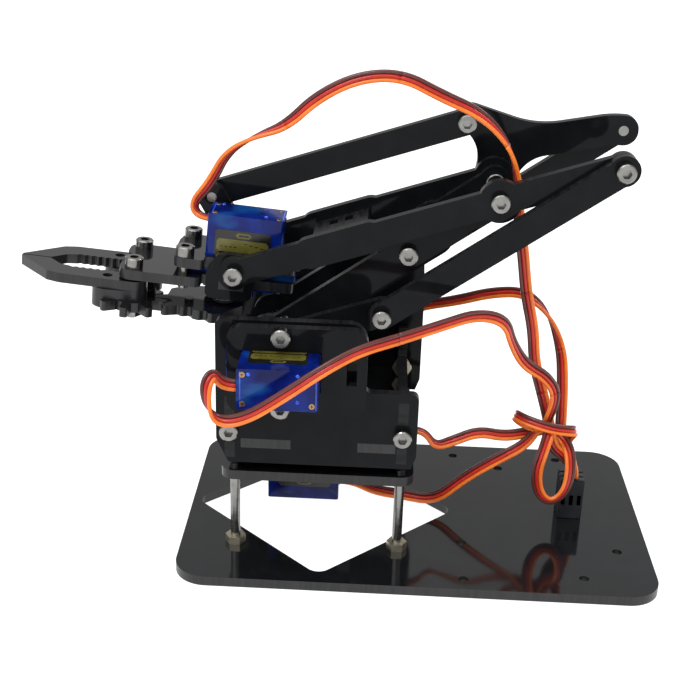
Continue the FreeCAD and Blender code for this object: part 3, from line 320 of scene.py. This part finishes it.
BASE_LEAD = [
    (-6.1, 0.0, 12.4, (0, 1, 0)), (-10.6, 0.0, 12.2, (0, 1, -0.2)),
    (-17.6, 0.3, 9.2, (0, 1, -0.6)), (-26.6, 0.0, 8.0, (0, 0.7, -1)),
    (-37.4, 0.2, 6.4, (0, 0.5, -1)), (-46.6, 0.0, 15.4, (0.2, 0.4, -1)),
    (-57.0, 0.4, 23.0, (0.2, 0.4, -1)), (-65.0, 0.0, 28.0, (0.2, 0.5, -1)),
    (-69.0, -0.6, 34.6, (0.3, 0.6, -0.6)), (-71.8, 4.6, 36.2, (-0.4, 0.8, 0)),
    (-69.8, 7.4, 29.8, (-0.9, 0.4, 0)), (-68.2, 7.0, 21.5, (-1, 0.3, 0)),
    (-69.8, 7.0, 14.0, (-0.9, 0.3, 0.3)), (-74.0, 6.8, 11.0, (0, 0.4, 1)),
    (-78.4, 6.4, 15.0, (0.8, 0.4, 0.5)), (-79.6, 4.6, 23.0, (1, 0.3, 0)),
    (-78.4, 1.0, 29.6, (0.9, 0.2, -0.5)), (-73.2, -3.6, 32.6, BROWN_UP),
    (-66.2, -4.2, 30.4, (0, 0.3, -1)), (-58.4, -2.6, 29.4, (0, 0.5, -1)),
    (-50.0, -1.0, 31.6, (0, 0.7, -1)), (-42.2, 0.0, 28.4, (0, 0.9, -0.8)),
    (-36.4, 0.2, 26.0, (0, 1, -0.5)), (-33.0, 0.0, 31.0, (0, 1, -0.2)),
    (-28.0, 0.4, 32.0, (0, 1, 0)), (-20.4, 3.8, 31.5, (-0.3, 1, 0)),
    (-14.0, 10.8, 31.6, (-0.5, 0.8, 0)), (-4.0, 14.6, 31.5, (0, 1, 0)),
    (6.0, 14.0, 31.6, (0, 1, 0)), (11.0, 14.0, 31.6, (0, 1, 0)),
]


def centreline(route):
    """Points of the smooth line that has the route's points as its controls, in metres."""
    curve = bpy.data.curves.new("route", "CURVE")
    curve.dimensions = "3D"
    spline = curve.splines.new("NURBS")
    spline.points.add(len(route) - 1)
    for point, (x, y, z, _) in zip(spline.points, route):
        point.co = (x * MM, y * MM, z * MM, 1)
    spline.order_u = 3
    spline.use_endpoint_u = True
    spline.resolution_u = 10
    carrier = bpy.data.objects.new("route", curve)
    mesh = bpy.data.meshes.new_from_object(carrier)
    line = [v.co.copy() for v in mesh.vertices]
    bpy.data.meshes.remove(mesh)
    bpy.data.objects.remove(carrier)
    bpy.data.curves.remove(curve)
    return line


def nearest(line, point):
    """Index of the line's point that is nearest to a point of the route."""
    return min(range(len(line)), key=lambda i: (line[i] - Vector(point[:3]) * MM).length)


def sides(line, route):
    """The line's directions, and at each point a unit vector from the brown wire to the orange.

    The route's hints are blended between its points, made square to the line and evened out,
    so that the ribbon twists gradually.
    """
    marks = [nearest(line, point) for point in route]
    marks[0], marks[-1] = 0, len(line) - 1
    tangents = [
        (line[min(i + 1, len(line) - 1)] - line[max(i - 1, 0)]).normalized()
        for i in range(len(line))
    ]
    hints = []
    for i in range(len(line)):
        k = max(k for k in range(len(marks)) if marks[k] <= i or k == 0)
        after = min(k + 1, len(marks) - 1)
        share = (i - marks[k]) / max(marks[after] - marks[k], 1)
        hints.append(Vector(route[k][3]).lerp(Vector(route[after][3]), min(max(share, 0), 1)))

    def squared(values):
        return [(h - h.dot(t) * t).normalized() for h, t in zip(values, tangents)]

    found = squared(hints)
    for _ in range(TWIST_PASSES):
        found = squared([
            found[max(i - 1, 0)] + found[i] * TWIST_WEIGHT + found[min(i + 1, len(found) - 1)]
            for i in range(len(found))
        ])
    return tangents, found


def finish_mesh(name, bm, materials):
    """Linked object made from the bmesh, with the materials in order."""
    mesh = bpy.data.meshes.new(name)
    bmesh.ops.recalc_face_normals(bm, faces=bm.faces)
    bm.to_mesh(mesh)
    bm.free()
    for material in materials:
        mesh.materials.append(material)
    piece = bpy.data.objects.new(name, mesh)
    scene.collection.objects.link(piece)
    return piece


def ribbon(name, line, tangents, across):
    """Three round wires side by side along the line, closed at both ends."""
    bm = bmesh.new()
    angles = [2 * math.pi * k / WIRE_SIDES for k in range(WIRE_SIDES)]
    for index in range(len(WIRES)):
        rings = []
        for point, tangent, side in zip(line, tangents, across):
            centre = point + side * (index - 1) * 2 * WIRE_RADIUS
            lift = tangent.cross(side)
            rings.append([
                bm.verts.new(centre + WIRE_RADIUS * WIRE_OVERLAP * (
                    math.cos(angle) * side + math.sin(angle) * lift))
                for angle in angles
            ])
        for first, second in zip(rings, rings[1:]):
            for k in range(WIRE_SIDES):
                after = (k + 1) % WIRE_SIDES
                face = bm.faces.new((first[k], first[after], second[after], second[k]))
                face.material_index, face.smooth = index, True
        for ring in (rings[0][::-1], rings[-1]):
            bm.faces.new(ring).material_index = index
    piece = finish_mesh(name, bm, WIRES)
    return piece


def make_lead(node, route, cuts):
    """One lead as runs that meet end to end; each rides on one body, or on none if it spans two.

    A cut gives the route's point where its run ends, or None for the last, and its bodies.
    """
    line = centreline(route)
    tangents, across = sides(line, route)
    edges = [0] + [nearest(line, route[cut]) for cut, _ in cuts[:-1]] + [len(line) - 1]
    for index, (_, bodies) in enumerate(cuts):
        first, last = edges[index], edges[index + 1]
        run = line[first:last + 1]
        name = f"{node}_run_{index + 1}"
        piece = ribbon(name, run, tangents[first:last + 1], across[first:last + 1])
        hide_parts(node)
        if len(bodies) == 1:
            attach(piece, bodies[0])
        else:
            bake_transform(piece)


def block(bm, low, high, index=0):
    """Box between two corners, with that material index; returns its faces."""
    made = bmesh.ops.create_cube(bm, size=1.0)
    size, middle = Vector(high) - Vector(low), (Vector(high) + Vector(low)) / 2
    for vert in made["verts"]:
        vert.co = Vector(a * b for a, b in zip(vert.co, size)) + middle
    faces = {face for vert in made["verts"] for face in vert.link_faces}
    for face in faces:
        face.material_index = index
    return faces


# Housings: half their width and thickness, where the three upright ones stand, and the windows.
PLUG_HALF, PLUG_THIN = 3.8, 1.3
PLUG_X, PLUG_FOOT, PLUG_TOP = -81, 3.0, 17.0
PLUG_EDGE = 0.25
BASE_PLUG_X, BASE_PLUG_Y, BASE_PLUG_Z = (11, 25), 14, (29.7, 32.3)
WINDOW_LOW, WINDOW_HIGH, WINDOW_DEPTH = 5.0, 8.5, 0.02


def make_plug(name, low, high, long_axis):
    """Three-way lead housing with three contact windows on each broad face, in millimetres."""
    bm = bmesh.new()
    wide = 0 if long_axis == 2 else 1
    thin = 3 - wide - long_axis
    block(bm, low, high)
    bmesh.ops.bevel(bm, geom=list(bm.edges), offset=PLUG_EDGE, segments=2, affect="EDGES")
    pitch = (high[wide] - low[wide]) / 3
    skins = (low[thin], low[thin] + WINDOW_DEPTH), (high[thin] - WINDOW_DEPTH, high[thin])
    for step in range(3):
        for skin in skins:
            a, b = list(low), list(high)
            a[wide] = low[wide] + pitch * (step + 0.25)
            b[wide] = low[wide] + pitch * (step + 0.75)
            a[long_axis] = low[long_axis] + WINDOW_LOW
            b[long_axis] = low[long_axis] + WINDOW_HIGH
            a[thin], b[thin] = skin
            block(bm, a, b, 1)
    for vert in bm.verts:
        vert.co *= MM
    piece = finish_mesh(name, bm, [PLUG, SCREW])
    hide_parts("lead_plugs")
    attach(piece, "base")
    return piece


plugs = {
    name: make_plug(
        f"{name}_plug", (PLUG_X - PLUG_HALF, y - PLUG_THIN, PLUG_FOOT),
        (PLUG_X + PLUG_HALF, y + PLUG_THIN, PLUG_TOP), 2)
    for name, y in (("gripper", 0.8), ("elbow", -2.2), ("shoulder", -5.2))
}
plugs["base"] = make_plug("base_plug", *zip(
    BASE_PLUG_X, (BASE_PLUG_Y - PLUG_HALF, BASE_PLUG_Y + PLUG_HALF), BASE_PLUG_Z), 0)

make_lead("gripper_lead", GRIPPER_LEAD, [
    (6, ("gripper", "forearm")), (9, ("forearm", "triangle")), (12, ("triangle", "lower_arm")),
    (16, ("lower_arm", "turret")), (19, ("turret", "base")), (None, ("base",)),
])
make_lead("elbow_lead", ELBOW_LEAD, [
    (10, ("turret",)), (17, ("turret", "base")), (None, ("base",)),
])
make_lead("shoulder_lead", SHOULDER_LEAD, [
    (8, ("turret",)), (14, ("turret", "base")), (None, ("base",)),
])
make_lead("base_lead", BASE_LEAD, [(None, ("base",))])

# --- servos ---------------------------------------------------------------------------

# Black of the labels' print; the cover screws' crosses use it too, as painted shade in their
# recesses.
LABEL_BLACK_AND_PAINTED_SHADE = moulded("label_black_and_painted_shade", (0.004, 0.004, 0.003), (0.012, 0.011, 0.008), 0.18, 0.3)
LABEL_GOLD = moulded("label_gold", (0.07, 0.062, 0.009), (0.14, 0.125, 0.022), 0.25, 0.4)
# A servo's own axes, in millimetres: its shaft is on z, its cover's outer face is at z = 0, and
# its case runs from the lead's end along x.
CASE_LEAD_END, CASE_FAR_END, CASE_HALF = -6.0, 16.7, 6.1
LABEL_LIFT, LABEL_LAYER = 0.07, 0.02
COVER_SCREW_INSET, COVER_SCREW_Y, COVER_SCREW_RADIUS = 1.7, 4.4, 0.95
HEAD_TAPER, CROSS_LONG, CROSS_WIDE = 0.86, 1.2, 0.22
PIN_PLACES, PIN_RADIUS = ((11.0, -4.5), (11.0, 3.4), (-2.6, -4.5)), 0.62
RIDGE_INSET = 0.7
GROMMET_HALF, GROMMET_LOW, GROMMET_HIGH = 2.2, 3.3, 5.1
BASE_SERVO = Vector((0, 0, 8.3))
PIVOT = Vector((15.84, 0, 65.6))
PIVOT_TO_COVER = Vector((0, 48.6, 0))
GRIP_SHAFT = Vector((28.87, 0, 102.10))
GRIP_TILT = math.radians(5.0)


def basis(x, y, z, origin):
    """Matrix from a servo's own millimetres to the arm's frame in metres."""
    turn = Matrix((x, y, z)).transposed().to_4x4()
    return Matrix.Scale(MM, 4) @ Matrix.Translation(origin) @ turn


def grip_basis():
    """The gripper's servo hangs upside down, tilted with the wrist."""
    tilt = Matrix.Rotation(-GRIP_TILT, 3, "Y")
    x, z = tilt @ Vector((-1, 0, 0)), tilt @ Vector((0, 0, -1))
    return basis(x, Vector((0, 1, 0)), z, GRIP_SHAFT)


# Body that each servo rides on, and its place.
SERVOS = {
    "base": ("base", basis((1, 0, 0), (0, 1, 0), (0, 0, 1), BASE_SERVO)),
    "elbow": ("turret", basis((-1, 0, 0), (0, 0, -1), (0, -1, 0), PIVOT + PIVOT_TO_COVER)),
    "shoulder": ("turret", basis((-1, 0, 0), (0, 0, 1), (0, 1, 0), PIVOT - PIVOT_TO_COVER)),
    "gripper": ("gripper", grip_basis()),
}


def place(name, bm, materials, matrix, body, slot_name):
    """Piece made in a servo's own millimetres, on the body that the servo rides on."""
    bm.transform(matrix)
    piece = finish_mesh(name, bm, materials)
    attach(piece, body)
    return piece


def servo_label(bm, side):
    """One side's label: black field, gold bands, an oval badge and a few dashes for print."""
    face = side * CASE_HALF
    black, gold = 0, 1

    def patch(x0, x1, z0, z1, index, layer):
        """Rounded rectangle sunk into the case, raised by its layer."""
        low, high = sorted((face - side * 0.3, face + side * (LABEL_LIFT + layer * LABEL_LAYER)))
        made = block(bm, (x0, low, z0), (x1, high, z1), index)
        edges = {e for f in made for e in f.edges if abs(e.verts[0].co.y - e.verts[1].co.y) > 0.1}
        bmesh.ops.bevel(bm, geom=list(edges), offset=min(0.5, 0.3 * (z1 - z0)), segments=3,
                        affect="EDGES")

    patch(-3.4, 13.2, 4.4, 15.2, black, 0)
    patch(-2.8, 12.6, 7.2, 11.1, gold, 1)
    patch(-2.8, 12.6, 11.8, 14.7, gold, 1)
    patch(2.8, 7.4, 5.1, 6.6, gold, 1)
    patch(3.5, 6.7, 5.5, 6.2, black, 2)
    for step in range(4):
        patch(-1.8 + 1.4 * step, -0.9 + 1.4 * step, 9.4, 9.7, black, 2)
        patch(5.4 + 1.6 * step, 6.4 + 1.6 * step, 8.1 + 0.3 * step, 8.35 + 0.3 * step, black, 2)


def cross_head(bm, x, y, radius):
    """Small screw head sunk in the cover, with a black cross of painted shade for its recess."""
    bmesh.ops.create_cone(bm, cap_ends=True, segments=20, radius1=radius * HEAD_TAPER,
                          radius2=radius, depth=0.3, matrix=Matrix.Translation((x, y, 0.0)))
    long, thin = radius * CROSS_LONG, radius * CROSS_WIDE
    for wide, tall in ((long, thin), (thin, long)):
        block(bm, (x - wide / 2, y - tall / 2, -0.17), (x + wide / 2, y + tall / 2, -0.1), 1)


def dress_servo(name, body, matrix):
    """Labels, cover screws, locating pins with end ridges, and the lead's grommet of one servo."""
    bm = bmesh.new()
    for side in (-1, 1):
        servo_label(bm, side)
    place(f"{name}_servo_label", bm, [LABEL_BLACK_AND_PAINTED_SHADE, LABEL_GOLD], matrix, body, "servo_case")
    bm = bmesh.new()
    for x in (CASE_LEAD_END + COVER_SCREW_INSET, CASE_FAR_END - COVER_SCREW_INSET):
        for y in (-COVER_SCREW_Y, COVER_SCREW_Y):
            cross_head(bm, x, y, COVER_SCREW_RADIUS)
    # The crosses take the black: painted shade for the screws' recesses.
    place(f"{name}_servo_screws", bm, [BRASS, LABEL_BLACK_AND_PAINTED_SHADE], matrix, body, "steel_fasteners")
    bm = bmesh.new()
    for x, y in PIN_PLACES:
        bmesh.ops.create_uvsphere(bm, u_segments=16, v_segments=10, radius=PIN_RADIUS,
                                  matrix=Matrix.Translation((x, y, 0.2)))
    for face in bm.faces:
        face.smooth = True
    for x0, x1 in ((CASE_LEAD_END + 0.9, CASE_LEAD_END + 1.25),
                   (CASE_FAR_END - 0.75, CASE_FAR_END - 0.4)):
        block(bm, (x0, -CASE_HALF + RIDGE_INSET, -0.12), (x1, CASE_HALF - RIDGE_INSET, 0.1))
    # The pins and ridges take the paler blue, a painted highlight.
    place(f"{name}_servo_pins", bm, [BLUE_PAINTED_HIGHLIGHT], matrix, body, "servo_case")
    bm = bmesh.new()
    block(bm, (CASE_LEAD_END - 0.35, -GROMMET_HALF, GROMMET_LOW),
          (CASE_LEAD_END + 0.2, GROMMET_HALF, GROMMET_HIGH))
    bmesh.ops.bevel(bm, geom=list(bm.edges), offset=0.15, segments=2, affect="EDGES")
    place(f"{name}_servo_grommet", bm, [PLUG], matrix, body, "plug_plastic")


for servo, (servo_body, servo_matrix) in SERVOS.items():
    dress_servo(servo, servo_body, servo_matrix)

# --- CAD nodes that stay: their finish ------------------------------------------------

FINISH = {
    ACRYLIC_FLAT: [
        "base_plate", "servo_mount_plate", "base_servo_collar", "turret_floor", "gripper_plate",
        "gripper_collar", "near_finger", "far_finger", "near_jaw_gear", "far_jaw_gear",
        "near_spacer", "far_spacer", "gear_sector",
    ],
    ACRYLIC_CROSS: ["front_cross_plate", "rear_cross_plate"],
    SCREW: [
        "standoff_screws", "turret_screws", "crank_pivot_screw", "crank_pin_screw", "tail_screw",
        "triangle_screws", "gripper_fasteners", "lower_arm_fasteners",
    ],
    NUT: ["standoff_nuts", "turret_nuts"],
    NYLON: ["turret_horn", "elbow_horn", "shoulder_horn", "gripper_horn"],
    BLUE: [name for name in nodes if name.endswith(("servo_case", "servo_cover"))],
}
FINISH = {name: material for material, names in FINISH.items() for name in names}
MOULDED_EDGE, SHEET_EDGE = 0.3 * MM, 0.1 * MM


def soften(node, width, segments):
    """Rounds sharp edges a little, so that they catch the light."""
    bevel = node.modifiers.new("edge", "BEVEL")
    bevel.width, bevel.segments = width, segments
    bevel.limit_method, bevel.angle_limit = "ANGLE", math.radians(50)


def finish_nodes():
    """Material and softened edges for every CAD node; the sides' acrylic is the default."""
    for name, node in nodes.items():
        material = FINISH.get(name, ACRYLIC_SIDE)
        node.data.materials.clear()
        node.data.materials.append(material)
        if material is BLUE:
            soften(node, MOULDED_EDGE, 3)
        elif material in (ACRYLIC_SIDE, ACRYLIC_FLAT, ACRYLIC_CROSS):
            soften(node, SHEET_EDGE, 1)


finish_nodes()

# --- stage and light ------------------------------------------------------------------

FLOOR_SIZE, FLOOR_DROP = 6, -0.0002
FLOOR_COLOUR, FLOOR_GLOW = (0.35, 0.35, 0.35, 1), 0.92
WHITE, SURROUND = (1, 1, 1, 1), 0.6
MIDDLE = (-0.02, 0, 0.05)


def make_stage():
    """Pale floor that glows faintly, so that it stays white, and a white surround."""
    bm = bmesh.new()
    bmesh.ops.create_grid(bm, x_segments=1, y_segments=1, size=FLOOR_SIZE)
    material, _, _ = new_material(
        "floor_white", base_color=FLOOR_COLOUR, roughness=0.9, emission_color=WHITE,
        emission_strength=FLOOR_GLOW)
    floor = finish_mesh("floor", bm, [material])
    floor.location.z = FLOOR_DROP
    world = bpy.data.worlds.new("studio")
    world.use_nodes = True
    background = world.node_tree.nodes["Background"]
    background.inputs["Color"].default_value = WHITE
    background.inputs["Strength"].default_value = SURROUND
    scene.world = world
    scene.view_settings.view_transform = "Standard"


def light(name, place, size, power):
    """Square area light at that place, aimed at the arm's middle."""
    data = bpy.data.lights.new(name, "AREA")
    data.size, data.energy = size, power
    lamp = bpy.data.objects.new(name, data)
    lamp.location = place
    lamp.rotation_mode = "QUATERNION"
    lamp.rotation_quaternion = (Vector(MIDDLE) - Vector(place)).to_track_quat("-Z", "Y")
    scene.collection.objects.link(lamp)


def sun(name, direction, strength, spread):
    """Sun lamp that shines along the direction; the spread is in degrees."""
    data = bpy.data.lights.new(name, "SUN")
    data.energy, data.angle = strength, math.radians(spread)
    lamp = bpy.data.objects.new(name, data)
    lamp.rotation_mode = "QUATERNION"
    lamp.rotation_quaternion = Vector(direction).to_track_quat("-Z", "Y")
    scene.collection.objects.link(lamp)


make_stage()
sun("sky_panel", (-0.25, -0.45, -1.0), 1.6, 75)
light("key", (0.25, 0.45, 0.75), 0.22, 2.2)
light("rim", (-0.5, -0.35, 0.7), 0.3, 2.0)
